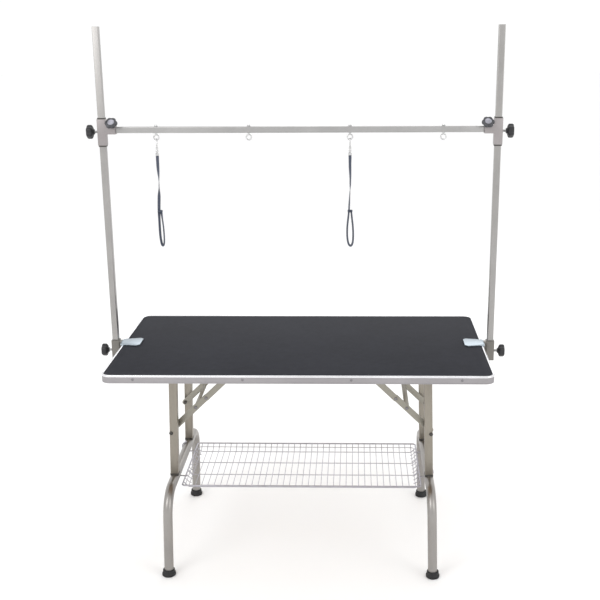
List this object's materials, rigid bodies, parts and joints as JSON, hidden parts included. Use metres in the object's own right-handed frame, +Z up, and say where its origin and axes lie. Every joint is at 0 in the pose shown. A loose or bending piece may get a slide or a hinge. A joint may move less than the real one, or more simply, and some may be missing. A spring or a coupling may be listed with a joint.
{
  "type": "grooming table",
  "caption": "Folding pet grooming table with a rubber mat top, two hooped leg frames, a wire basket, and a two-post overhead arm with hanging nooses.",
  "frame": {"origin": "on the floor, under the middle of the top", "axes": "+X along the top to the viewer's right, +Y away from the viewer, +Z up"},
  "size_m": [1.3462, 0.653, 1.724],
  "materials": {
    "mat_rubber": "fine pebbled matt charcoal mat",
    "board_wood": "plain sealed board",
    "trim_metal": "satin extruded edge trim with a bright lip",
    "rivet_metal": "dome rivets",
    "bracket_steel": "zinc plated pressings",
    "clamp_metal": "pale blue-grey satin casting",
    "basket_wire": "bright plated wire",
    "upright_steel": "satin warm grey steel",
    "hoop_steel": "satin grey steel tube",
    "foot_rubber": "matt black rubber",
    "bolt_steel": "dark oxide bolts",
    "brace_steel": "satin flat links",
    "post_steel": "satin square tube",
    "tee_steel": "satin welded sleeves",
    "knob_plastic": "black lobed knobs",
    "stud_steel": "zinc plated studs and nuts",
    "hook_steel": "bright plated rings and hooks",
    "strap_nylon": "woven navy nylon webbing",
    "slider_plastic": "black slider"
  },
  "bodies": {
    "table": {"mat": "mat_rubber", "board": "board_wood", "edge_trim": "trim_metal", "trim_rivets": "rivet_metal", "hinge_brackets": "bracket_steel", "brace_brackets": "bracket_steel", "left_clamp": "clamp_metal", "right_clamp": "clamp_metal", "basket_rim": "basket_wire", "basket_floor": "basket_wire", "basket_front": "basket_wire", "basket_rear": "basket_wire", "basket_ends": "basket_wire", "basket_hooks": "basket_wire"},
    "left_leg_frame": {"left_uprights": "upright_steel", "left_hoop": "hoop_steel", "left_hinge_tube": "bracket_steel", "left_feet": "foot_rubber", "left_brace_bolts": "bolt_steel"},
    "right_leg_frame": {"right_uprights": "upright_steel", "right_hoop": "hoop_steel", "right_hinge_tube": "bracket_steel", "right_feet": "foot_rubber", "right_brace_bolts": "bolt_steel"},
    "left_lower_brace": {"left_lower_links": "brace_steel", "left_cross_bar": "brace_steel"},
    "right_lower_brace": {"right_lower_links": "brace_steel", "right_cross_bar": "brace_steel"},
    "left_upper_brace": {"left_upper_links": "brace_steel"},
    "right_upper_brace": {"right_upper_links": "brace_steel"},
    "left_post": {"left_post": "post_steel"},
    "right_post": {"right_post": "post_steel"},
    "overhead_arm": {"overhead_bar": "post_steel", "left_tee": "tee_steel", "right_tee": "tee_steel", "eyebolts": "hook_steel", "eyebolt_nuts": "stud_steel"},
    "left_hanging_noose": {"left_snap_hook": "hook_steel", "left_noose": "strap_nylon", "left_slider": "slider_plastic"},
    "right_hanging_noose": {"right_snap_hook": "hook_steel", "right_noose": "strap_nylon", "right_slider": "slider_plastic"},
    "left_post_lock": {"left_post_knob": "knob_plastic", "left_post_stud": "stud_steel"},
    "left_side_lock": {"left_side_knob": "knob_plastic", "left_side_stud": "stud_steel"},
    "left_top_lock": {"left_top_knob": "knob_plastic", "left_top_stud": "stud_steel"},
    "left_jaw": {"left_jaw_pad": "foot_rubber", "left_jaw_screw": "bolt_steel"},
    "right_post_lock": {"right_post_knob": "knob_plastic", "right_post_stud": "stud_steel"},
    "right_side_lock": {"right_side_knob": "knob_plastic", "right_side_stud": "stud_steel"},
    "right_top_lock": {"right_top_knob": "knob_plastic", "right_top_stud": "stud_steel"},
    "right_jaw": {"right_jaw_pad": "foot_rubber", "right_jaw_screw": "bolt_steel"}
  },
  "joints": [
    {"name": "left_leg_fold", "type": "hinge", "parent": "table", "child": "left_leg_frame", "pos_m": [-0.41, 0, 0.656], "axis": [0, -1, 0], "range_deg": [0, 91.3]},
    {"name": "left_lower_brace_fold", "type": "hinge", "parent": "left_leg_frame", "child": "left_lower_brace", "pos_m": [-0.424, 0, 0.44131], "axis": [0, -1, 0], "range_deg": [0, 41.21]},
    {"name": "left_upper_brace_fold", "type": "hinge", "parent": "table", "child": "left_upper_brace", "pos_m": [-0.195, 0, 0.664], "axis": [0, 1, 0], "range_deg": [0, 41.21]},
    {"name": "right_leg_fold", "type": "hinge", "parent": "table", "child": "right_leg_frame", "pos_m": [0.41, 0, 0.656], "axis": [0, 1, 0], "range_deg": [0, 86.5]},
    {"name": "right_lower_brace_fold", "type": "hinge", "parent": "right_leg_frame", "child": "right_lower_brace", "pos_m": [0.424, 0, 0.44131], "axis": [0, 1, 0], "range_deg": [0, 40.46]},
    {"name": "right_upper_brace_fold", "type": "hinge", "parent": "table", "child": "right_upper_brace", "pos_m": [0.195, 0, 0.664], "axis": [0, -1, 0], "range_deg": [0, 40.46]},
    {"name": "left_post_height", "type": "slide", "parent": "table", "child": "left_post", "axis": [0, 0, 1], "range_m": [-0.15, 0]},
    {"name": "right_post_height", "type": "slide", "parent": "table", "child": "right_post", "axis": [0, 0, 1], "range_m": [-0.15, 0]},
    {"name": "bar_height", "type": "slide", "parent": "left_post", "child": "overhead_arm", "axis": [0, 0, 1], "range_m": [-0.15, 0.25]},
    {"name": "left_post_lock_turn", "type": "hinge", "parent": "table", "child": "left_post_lock", "pos_m": [-0.655, 0, 0.676], "axis": [-1, 0, 0], "range_deg": [0, 360]},
    {"name": "left_side_lock_turn", "type": "hinge", "parent": "overhead_arm", "child": "left_side_lock", "pos_m": [-0.655, 0, 1.402], "axis": [-1, 0, 0], "range_deg": [0, 360]},
    {"name": "left_top_lock_turn", "type": "hinge", "parent": "overhead_arm", "child": "left_top_lock", "pos_m": [-0.59, 0, 1.408], "axis": [0, -0.7071, 0.7071], "range_deg": [0, 360]},
    {"name": "left_jaw_travel", "type": "slide", "parent": "table", "child": "left_jaw", "axis": [0, 0, -1], "range_m": [0, 0.02]},
    {"name": "right_post_lock_turn", "type": "hinge", "parent": "table", "child": "right_post_lock", "pos_m": [0.655, 0, 0.676], "axis": [1, 0, 0], "range_deg": [0, 360]},
    {"name": "right_side_lock_turn", "type": "hinge", "parent": "overhead_arm", "child": "right_side_lock", "pos_m": [0.655, 0, 1.402], "axis": [1, 0, 0], "range_deg": [0, 360]},
    {"name": "right_top_lock_turn", "type": "hinge", "parent": "overhead_arm", "child": "right_top_lock", "pos_m": [0.59, 0, 1.408], "axis": [0, -0.7071, 0.7071], "range_deg": [0, 360]},
    {"name": "right_jaw_travel", "type": "slide", "parent": "table", "child": "right_jaw", "axis": [0, 0, -1], "range_m": [0, 0.02]},
    {"name": "left_noose_swing", "type": "hinge", "parent": "overhead_arm", "child": "left_hanging_noose", "pos_m": [-0.454, 0, 1.376], "axis": [1, 0, 0], "range_deg": [-60, 60]},
    {"name": "right_noose_swing", "type": "hinge", "parent": "overhead_arm", "child": "right_hanging_noose", "pos_m": [0.16, 0, 1.376], "axis": [1, 0, 0], "range_deg": [-60, 60]}
  ],
  "couplings": [
    {"joint": "left_lower_brace_fold", "follows": "left_leg_fold", "ratio": 0.45119},
    {"joint": "left_upper_brace_fold", "follows": "left_leg_fold", "ratio": 0.45119},
    {"joint": "right_lower_brace_fold", "follows": "right_leg_fold", "ratio": 0.4675},
    {"joint": "right_upper_brace_fold", "follows": "right_leg_fold", "ratio": 0.4675},
    {"joint": "right_post_height", "follows": "left_post_height", "ratio": 1}
  ]
}
